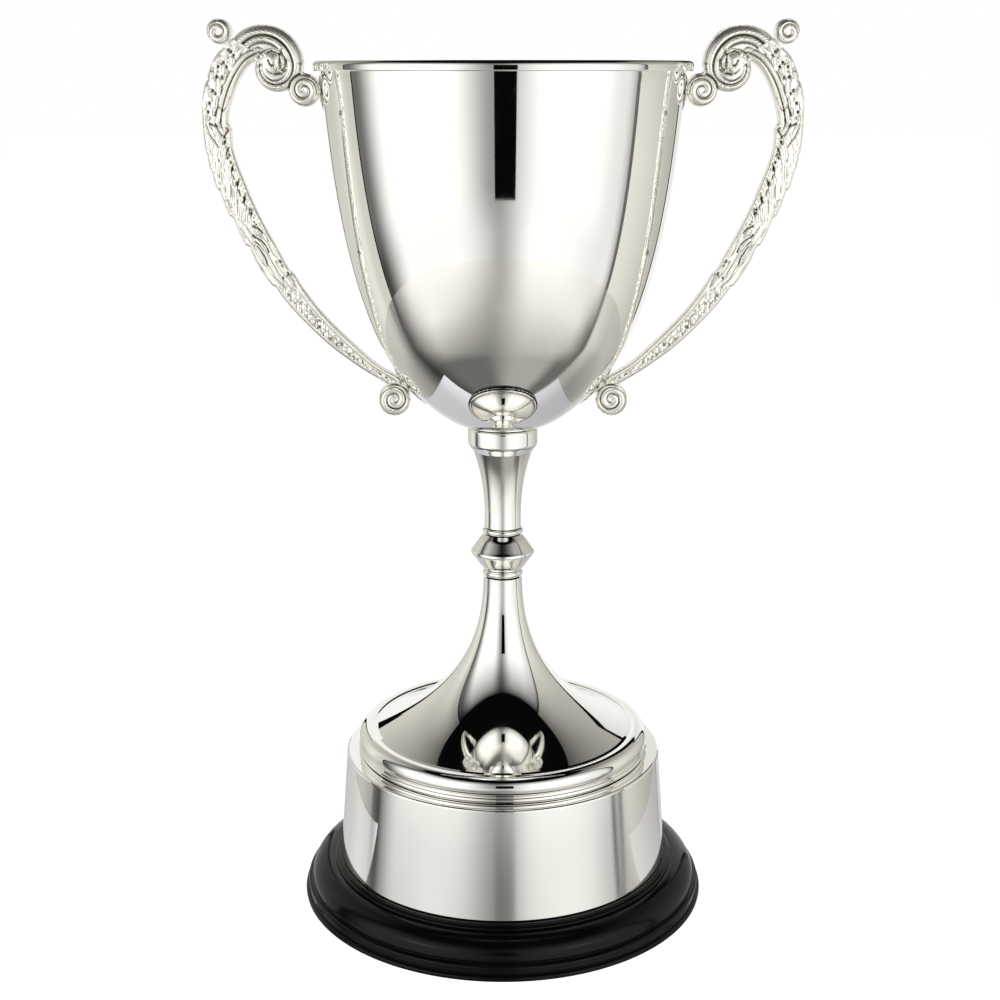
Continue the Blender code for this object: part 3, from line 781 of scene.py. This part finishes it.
def relief_mesh():
    """Points, faces and recess values (painted shade and tarnish) of the flat casting, for the handle on the
    +X side.
    """
    step = RELIEF_STEP
    first = (34.0, 206.0)
    xs = np.arange(first[0], 121.0, step)
    zs = np.arange(first[1], 369.0, step)
    x, z = np.meshgrid(xs, zs, indexing="ij")
    outer = stepped(smooth_through(OUTER_EDGE, 22), OUTER_STEPS, 1)
    inner = stepped(smooth_through(INNER_EDGE, 14), INNER_STEPS, -1)
    depth = casting_depth(x, z, outer, inner)
    height = np.full(x.shape, EDGE_HALF)
    near = depth > -2.5
    height[near] = casting_height(x[near], z[near], depth[near], outer, inner)
    # painted shade and tarnish: stronger where a point lies below its blurred surroundings, faded out at the
    # outline
    recess = np.clip((blurred(height, round(0.9 / step)) - height) / 0.28, 0.0, 1.0)
    recess *= rise(depth, 0.1, 0.8)

    kept = depth > -0.5 * step
    cells = kept[:-1, :-1] & kept[1:, :-1] & kept[:-1, 1:] & kept[1:, 1:]
    used = np.zeros(x.shape, bool)
    count = np.zeros(x.shape, int)
    for a, b in ((0, 0), (1, 0), (0, 1), (1, 1)):
        corner = np.zeros(x.shape, bool)
        corner[a:a + cells.shape[0], b:b + cells.shape[1]] = cells
        used |= corner
        count += corner
    border = used & (count < 4)
    slope_i, slope_j = np.gradient(depth)
    steep = np.maximum(slope_i ** 2 + slope_j ** 2, 1e-6)
    i, j = np.meshgrid(np.arange(len(xs), dtype=float), np.arange(len(zs), dtype=float), indexing="ij")
    shift = np.where(border, -depth / steep, 0.0)
    i += np.clip(shift * slope_i, -1.0, 1.0)
    j += np.clip(shift * slope_j, -1.0, 1.0)
    loose = used & ~border & (depth < 3 * step)
    for _ in range(4):
        for place in (i, j):
            mean = sum(np.roll(place, move, axis) for move in (-1, 1) for axis in (0, 1)) / 4
            place[loose] = mean[loose]

    number = np.full(x.shape, -1)
    number[used] = np.arange(used.sum())
    i, j = i[used], j[used]
    half = sampled(height, i, j)
    dark = sampled(recess, i, j)
    flat = np.column_stack((first[0] + i * step, -half, first[1] + j * step))
    behind = flat * (1, -1, 1)
    total = len(flat)
    quads = np.column_stack((number[:-1, :-1][cells], number[1:, :-1][cells], number[1:, 1:][cells],
                             number[:-1, 1:][cells]))
    faces = [*quads.tolist(), *(quads[:, ::-1] + total).tolist()]
    edges = {}
    for a, b, c, d in quads.tolist():
        for edge in ((a, b), (b, c), (c, d), (d, a)):
            key = (min(edge), max(edge))
            edges[key] = edges.get(key, 0) + 1
    faces += [[a, b, b + total, a + total] for (a, b), uses in edges.items() if uses == 1]
    return np.vstack((flat, behind)), faces, np.concatenate((dark, dark))


# ---------- the pads on the bowl

PAD_GAP = 0.3
UPPER_PAD = (345.0, 331.5, 7.5)  # top, bottom and half angle in degrees
LOWER_PAD = (229.5, 214.5, 9.0)


def pad_mesh(top, bottom, half_angle, pointed):
    """A leaf that lies on the bowl's wall on the +X side: points, faces and recess values (painted shade and
    tarnish).
    """
    wall = np.array(bowl_wall())
    outward = wall - (np.array(offset_in(bowl_wall(), 1.0)) - wall)
    rows, columns = 60, 40
    verts, recess = [], []
    for layer in (1, 0):
        for row in range(rows + 1):
            t = row / rows
            height = top + (bottom - top) * t
            base = [np.interp(-height, -wall[:, 1], wall[:, k]) for k in (0, 1)]
            push = [np.interp(-height, -wall[:, 1], outward[:, k]) - base[k] for k in (0, 1)]
            swell = math.sin(math.pi * min(max(t, 0.012), 0.988)) ** (0.8 if pointed else 0.5)
            depth, waves = (0.13, 9) if pointed else (0.05, 16)
            lobes = 1.0 + depth * math.sin(waves * math.pi * t)
            for column in range(columns + 1):
                v = 2 * column / columns - 1
                turn = math.radians(half_angle * swell * lobes * v)
                vein = math.cos((7 if pointed else 11) * math.pi * (t + 0.18 * abs(v)))
                rib = math.exp(-(v / 0.16) ** 2)
                crown = 0.75 * math.sqrt(max(1 - v * v, 0.0))
                thick = 0.25 + swell * (crown + 0.28 * rib + 0.16 * vein * abs(v))
                lift = PAD_GAP + layer * thick
                radius = base[0] + push[0] * lift
                verts.append((radius * math.cos(turn), radius * math.sin(turn), base[1] + push[1] * lift))
                # painted shade and tarnish in the vein troughs of the top face, and along the pad's edge
                recess.append(0.75 * max(0.0, -vein) * (1 - rib) * abs(v) * layer + 0.35 * (abs(v) > 0.9))
    per = columns + 1
    under = (rows + 1) * per
    faces = []
    for row in range(rows):
        for column in range(columns):
            a = row * per + column
            faces.append((a, a + 1, a + per + 1, a + per))
            faces.append((under + a, under + a + per, under + a + per + 1, under + a + 1))
    rim = [*range(per), *(r * per + columns for r in range(1, rows + 1)),
           *(rows * per + c for c in range(columns - 1, -1, -1)), *(r * per for r in range(rows - 1, 0, -1))]
    for a, b in zip(rim, [*rim[1:], rim[0]]):
        faces.append((a, under + a, under + b, b))
    return np.array(verts), faces, np.array(recess)


def make_handles():
    parts = [relief_mesh(), pad_mesh(*UPPER_PAD, True), pad_mesh(*LOWER_PAD, False)]
    verts, faces, recess = [], [], []
    start = 0
    for part_verts, part_faces, part_recess in parts:
        verts.append(part_verts)
        faces += [[corner + start for corner in face] for face in part_faces]
        recess.append(part_recess)
        start += len(part_verts)
    verts, recess = np.vstack(verts), np.concatenate(recess)
    for side, mirror in (("right", 1), ("left", -1)):
        make_piece(f"{side}_handle_casting", verts * (mirror, 1, 1), faces, "cast_silver",
                   [f"{side}_handle"], 50.0, recess)


# ---------- build every piece

make_bowl()
make_rim()
make_stem()
make_foot()
make_plinth()
make_baize()
make_handles()

for subpart in frame["record"]["subparts"]:
    node = frame["nodes"][subpart["node"]]
    finish = FINISHES[subpart["material_slot"]]
    node.data.materials.clear()
    node.data.materials.append(finish)


# ---------- studio

def mixed(tree, share, first, second):
    """The first shader where share is 0 and the second where it is 1."""
    mix = add_node(tree, "ShaderNodeMixShader")
    for socket, link in enumerate((share, first, second)):
        tree.links.new(link, mix.inputs[socket])
    return mix.outputs["Shader"]


def glowing(name, base, gloss=0.0):
    """Light that comes from the 'glow' value at each point; gloss mirrors the rest at low angles."""
    material = bpy.data.materials.new(name)
    material.use_nodes = True
    tree = material.node_tree
    tree.nodes.clear()
    value = add_node(tree, "ShaderNodeAttribute", attribute_name="glow")
    light = add_node(tree, "ShaderNodeEmission", Color=(*base, 1.0))
    out = add_node(tree, "ShaderNodeOutputMaterial")
    tree.links.new(value.outputs["Fac"], light.inputs["Strength"])
    surface = light.outputs["Emission"]
    if gloss:
        mirror = add_node(tree, "ShaderNodeBsdfGlossy", Color=(1.0, 1.0, 1.0, 1.0), Roughness=0.26)
        facing = add_node(tree, "ShaderNodeLayerWeight", Blend=0.5)
        shine = add_node(tree, "ShaderNodeAttribute", attribute_name="shine")
        weight = add_node(tree, "ShaderNodeMath", operation="MULTIPLY")
        tree.links.new(between(tree, facing.outputs["Facing"], 0.0, gloss, 0.35, 0.75), weight.inputs[0])
        tree.links.new(shine.outputs["Fac"], weight.inputs[1])
        surface = mixed(tree, weight.outputs["Value"], surface, mirror.outputs["BSDF"])
    tree.links.new(surface, out.inputs["Surface"])
    return material


def card(name, place, columns, rows, glow, colour, keep=None, gloss=0.0, shine=None):
    """A curved sheet of light. place(u, v) gives a point in metres and glow(u, v) its strength."""
    verts, values, faces = [], [], []
    for j in range(rows + 1):
        for i in range(columns + 1):
            u, v = i / columns, j / rows
            verts.append(place(u, v))
            values.append(glow(u, v))
    for j in range(rows):
        for i in range(columns):
            if keep and not keep((i + 0.5) / columns, (j + 0.5) / rows):
                continue
            a = j * (columns + 1) + i
            faces.append((a, a + 1, a + columns + 2, a + columns + 1))
    mesh = bpy.data.meshes.new(name)
    mesh.from_pydata(verts, [], faces)
    keep_values(mesh, "glow", values)
    if shine:
        keep_values(mesh, "shine", [shine(*vert[:2]) for vert in verts])
    mesh.materials.append(glowing(name, colour, gloss))
    sheet = add_object(name, mesh)
    sheet.visible_camera = False
    sheet.visible_shadow = False
    sheet.visible_diffuse = False


def read_off(points, value):
    """The value of a line of (place, value) points at a place."""
    places, values = zip(*points)
    return float(np.interp(value, places, values))


TENT = 0.552  # distance of the front sheet from the axis
TENT_HEIGHT = 0.95
SHEET_LEFT, SHEET_RIGHT = -101.4, 88.2  # where it ends on each side, in degrees from the front
FOOT_LEFT = -98.0  # where its left side ends at the table
DRAWN_HEIGHT, DRAWN_FROM = 0.25, -20.0  # the slanting part of that side: its height and start
FULL_LEFT = -106.4  # the left end that the brightness below is given for
PANEL_GAP_LEFT, PANEL_GAP_RIGHT = 1.2, 0.3  # between the front sheet and the side panels, in degrees
SLIT_LEFT, SLIT_RIGHT = -5.2, 7.9
SLIT_LOW, SLIT_HIGH = 0.116, 0.37
BACK_LOW, BACK_HIGH = 0.35, 0.72  # height of the background on the right and on the left
LAMP_SPOTS = ((-52.0, 1.6), (46.0, 1.3))  # where the lamps behind the sheet show, and how strongly
LAMP_HEIGHT, LAMP_TURN, LAMP_RISE = 0.30, 13.0, 0.055  # and the spots' height and spread
TABLE_SIZE, TABLE_GLOSS = 1.2, 0.84
PATCH = (-0.175, 0.160, -0.026, 0.40)  # a paler sheet on the table: x from, to, y from, to
DULL_STRIPS = ((-107.0, 3.0), (84.5, 2.5))  # directions seen from the drum, and their width
DRUM_WALL = 0.067  # radii of the drum's and the bowl's wall, in metres
UPPER_WALL, MIDDLE_WALL, LOWER_WALL = 0.066, 0.055, 0.043
PANEL_COLOUR = (1.0, 0.975, 0.90)
SHEET_COLOUR = (1.0, 0.998, 0.985)
TABLE_COLOUR = (1.0, 0.985, 0.93)
PATCH_COLOUR = (0.93, 0.93, 1.0)

# Brightness round the cup by the direction that the silver mirrors: the least there is, then each
# lit area as where it starts, is full from and to, and ends, in degrees, and its strength.
ROUND_BACK = 300, 310
SHEET_ROUND = (0.15, (-109, -84, -37, 1, 0.95), (-14, 30, 60, 82, 0.27), (-14, 30, 82, 97, 0.68))
SHEET_FOOT = (0.06, (-110, -79, -40, 22, 1.00), (-6, 23, 40, 78, 0.22), (-6, 23, 83, 97, 0.80))
SHEET_END, END_LEVEL = 90.5, 0.14  # the front sheet's dark hem
LEFT_PANEL_ROUND = (0.66, (-141, -121, -121, -112, 0.16))
RIGHT_PANEL_ROUND = (0.50, (-20, -10, 88, 150, 0.31))
TABLE_NEAR = (
    0.02, (-310, -300, -135, -95, 0.38), (-108, -65, *ROUND_BACK, 0.12), (-26, 20, 52, 75, 0.24),
    (86, 93, *ROUND_BACK, 0.25))
TABLE_FAR = (
    0.07, (-310, -300, -122, -100, 0.47), (-104, -63, -72, 32, 0.68), (-15, 29, 67, 93, 0.61),
    (90, 94, *ROUND_BACK, 0.48))
TABLE_BEHIND = (0.0, (-310, -300, -114, -109.5, 0.60), (90.6, 93.4, *ROUND_BACK, 0.48))
TABLE_RADII = (0.20, 0.37, 0.56)  # where the table's three rings lie
TABLE_LIFT = (1.05, 1.24, 0.98)  # light lost in the silver and the table's own gloss
BEHIND_LOSS, BEHIND_FROM, BEHIND_OVER = 0.30, 90.0, 14.0
SHEET_RISE = ((0.36, 1.0), (0.94, 0.0))  # heights and the light left there
PANEL_RISE = ((0.22, 1.0), (0.94, 0.17))


def ramp(value, start, end):
    """Like rise, for one plain number."""
    t = min(max((value - start) / (end - start), 0.0), 1.0)
    return t * t * (3 - 2 * t)


def lit(areas, angle):
    """Brightness in a direction."""
    least, *spans = areas
    return least + sum(
        strength * ramp(angle, start, full) * (1 - ramp(angle, to, end + 0.01))
        for start, full, to, end, strength in spans)


def lit_sheet(areas, angle):
    return lit(areas, angle) if angle < SHEET_END else END_LEVEL


def around(degrees, distance, height):
    """A point this far from the axis, at an angle from the front that grows towards +X."""
    angle = math.radians(degrees)
    return (distance * math.sin(angle), -distance * math.cos(angle), height)


def from_wall(angle, distance, wall):
    """The direction, in degrees, in which a wall of this radius mirrors a point to the camera."""
    seen = angle
    for _ in range(5):
        share = wall / distance * math.sin(math.radians(seen / 2))
        seen = angle + math.degrees(math.asin(min(max(share, -1.0), 1.0)))
    return seen


def left_edge(height):
    """Where the front sheet ends on the left at this height, in degrees."""
    return FOOT_LEFT + (SHEET_LEFT - FOOT_LEFT) * min(height / DRAWN_HEIGHT, 1.0)


def let_out(angle, height):
    """The angle on the sheet before its left side was drawn in, which the brightness tables use."""
    return angle * FULL_LEFT / left_edge(height) if angle < 0 else angle


def sheet_glow(angle, height):
    angle = from_wall(let_out(angle, height), TENT, UPPER_WALL)
    share = min(max((height - 0.06) / 0.08, 0.0), 1.0)
    level = lit_sheet(SHEET_FOOT, angle) * (1 - share) + lit_sheet(SHEET_ROUND, angle) * share
    middle = 1.0 - 0.35 * math.exp(-((angle + 5) / 30) ** 2) * min(max((height - 0.42) / 0.2, 0.0), 1.0)
    up = ((height - LAMP_HEIGHT) / LAMP_RISE) ** 2
    spots = sum(strength * math.exp(-((angle - spot) / LAMP_TURN) ** 2 - up) for spot, strength in LAMP_SPOTS)
    return level * middle * read_off(SHEET_RISE, height) + spots


def make_tent():
    def angle(u, v):
        even = SHEET_LEFT + (SHEET_RIGHT - SHEET_LEFT) * u
        if even > DRAWN_FROM:
            return even
        left = left_edge(TENT_HEIGHT * v)
        return DRAWN_FROM + (even - DRAWN_FROM) * (left - DRAWN_FROM) / (SHEET_LEFT - DRAWN_FROM)

    def outside_slit(u, v):
        inside = SLIT_LEFT < angle(u, v) < SLIT_RIGHT and SLIT_LOW < TENT_HEIGHT * v < SLIT_HIGH
        return not inside

    card("front_sheet", lambda u, v: around(angle(u, v), TENT, TENT_HEIGHT * v), 410, 95,
         lambda u, v: sheet_glow(angle(u, v), TENT_HEIGHT * v), SHEET_COLOUR, outside_slit)

    # start, end above, end below the background's top, brightness
    sides = (("left", lambda height: left_edge(height) - PANEL_GAP_LEFT, -166.0, -152.0, LEFT_PANEL_ROUND),
             ("right", lambda height: SHEET_RIGHT + PANEL_GAP_RIGHT, 148.0, 142.0, RIGHT_PANEL_ROUND))
    for side, start, end, lower_end, levels in sides:
        def turn(u, v, start=start, end=end):
            first = start(TENT_HEIGHT * v)
            return first + (end - first) * u

        def level(u, v, turn=turn, levels=levels):
            seen = from_wall(turn(u, v), TENT, UPPER_WALL)
            return lit(levels, seen) * read_off(PANEL_RISE, TENT_HEIGHT * v)

        def kept(u, v, turn=turn, lower_end=lower_end):
            return abs(turn(u, v)) < abs(lower_end) or TENT_HEIGHT * v > 0.36

        card(f"{side}_panel", lambda u, v, turn=turn: around(turn(u, v), TENT, TENT_HEIGHT * v), 80, 60,
             level, PANEL_COLOUR, kept)

    def back_place(u, v):
        raised = min(max((u - 0.42) / 0.04, 0.0), 1.0)  # the background is taller on the left
        return around(145 + 60 * u, TENT + 0.02, (BACK_LOW + (BACK_HIGH - BACK_LOW) * raised) * v)

    card("back_sheet", back_place, 60, 24, lambda u, v: 0.95 - 0.22 * v * v, SHEET_COLOUR)


def table_glow(x, y):
    """The table as the silver sees it from above: lit cloth in front, duller near the plinth."""
    distance = math.hypot(x, y)
    angle = math.degrees(math.atan2(x, -y))
    far = max(distance, 0.1)
    edge = from_wall(angle, far, UPPER_WALL)
    rings = (lit(TABLE_NEAR, from_wall(angle, far, LOWER_WALL)),
             lit(TABLE_FAR, from_wall(angle, far, MIDDLE_WALL)),
             lit_sheet(SHEET_FOOT, edge) + lit(TABLE_BEHIND, edge))
    level = float(np.interp(distance, TABLE_RADII, [ring * lift for ring, lift in zip(rings, TABLE_LIFT)]))
    behind = min(max((abs(angle) - BEHIND_FROM) / BEHIND_OVER, 0.0), 1.0)
    return level * (1.0 - BEHIND_LOSS * behind)


def table_shine(x, y):
    """The table loses its gloss in two narrow strips, which the drum shows as dark upright lines."""
    distance = max(math.hypot(x, y), 0.1)
    angle = let_out(math.degrees(math.atan2(x, -y)), 0.0)
    seen = from_wall(angle, distance, DRUM_WALL)
    return 1.0 - sum(0.9 * math.exp(-((seen - middle) / width) ** 2) for middle, width in DULL_STRIPS)


def make_table():
    def place(u, v):
        return (TABLE_SIZE * (u - 0.5), TABLE_SIZE * (v - 0.5), 0.0006)

    card("table_light", place, 300, 300, lambda u, v: table_glow(*place(u, v)[:2]), TABLE_COLOUR,
         None, TABLE_GLOSS, table_shine)

    left, right, front, back = PATCH

    def patch_place(u, v):
        return (left + (right - left) * u, front + (back - front) * v, 0.0012)

    card("patch_light", patch_place, 40, 60,
         lambda u, v: (0.60 + 0.25 * math.exp(-((v / 0.12) ** 2))) * (1.05 - 0.22 * u), PATCH_COLOUR,
         None, TABLE_GLOSS, table_shine)


def make_floor():
    """A wide pale floor that fades into the pale background; the silver sees the table card instead."""
    sides, reach = 96, 9.0
    mesh = bpy.data.meshes.new("floor")
    ring = [around(360 * k / sides, reach, -0.0002) for k in range(sides)]
    mesh.from_pydata(ring, [], [tuple(range(sides))])
    paper, _, _ = new_material(
        "floor_paper", Base_Color=(0.25, 0.25, 0.25, 1.0), Roughness=0.9, Specular_IOR_Level=0.0,
        Emission_Color=(1.0, 1.0, 1.0, 1.0), Emission_Strength=1.0)
    mesh.materials.append(paper)
    floor = add_object("floor", mesh)
    floor.visible_glossy = False


def make_fill_light():
    """A broad soft lamp in front and above, which only frosted and rough surfaces take up."""
    data = bpy.data.lights.new("fill", "AREA")
    data.energy = 82.0
    data.size = 1.6
    lamp = add_object("fill", data)
    lamp.location = (0.0, -2.1, 1.1)
    lamp.rotation_euler = (math.radians(70), 0.0, 0.0)
    lamp.visible_glossy = False


def make_world():
    """White to the camera, and the dark room above the tent to the silver."""
    world = bpy.data.worlds.new("studio")
    world.use_nodes = True
    tree = world.node_tree
    tree.nodes.clear()
    path = add_node(tree, "ShaderNodeLightPath")
    room = add_node(tree, "ShaderNodeBackground", Color=(0.002, 0.002, 0.002, 1.0), Strength=1.0)
    seen = add_node(tree, "ShaderNodeBackground", Color=(1.0, 1.0, 1.0, 1.0), Strength=1.0)
    out = add_node(tree, "ShaderNodeOutputWorld")
    mix = mixed(tree, path.outputs["Is Camera Ray"], room.outputs["Background"], seen.outputs["Background"])
    tree.links.new(mix, out.inputs["Surface"])
    bpy.context.scene.world = world


def make_camera():
    """In front of the slit, a little below the rim's top edge and tipped down."""
    data = bpy.data.cameras.new("camera")
    data.lens = 58.47
    data.sensor_width = 36.0
    camera = add_object("camera", data)
    camera.location = (-0.0012, -0.654, 0.3462)
    camera.rotation_euler = (math.radians(90 - 14.79), 0.0, 0.0)
    bpy.context.scene.camera = camera


make_tent()
make_table()
make_floor()
make_fill_light()
make_world()
make_camera()
bpy.context.scene.view_settings.view_transform = "Standard"
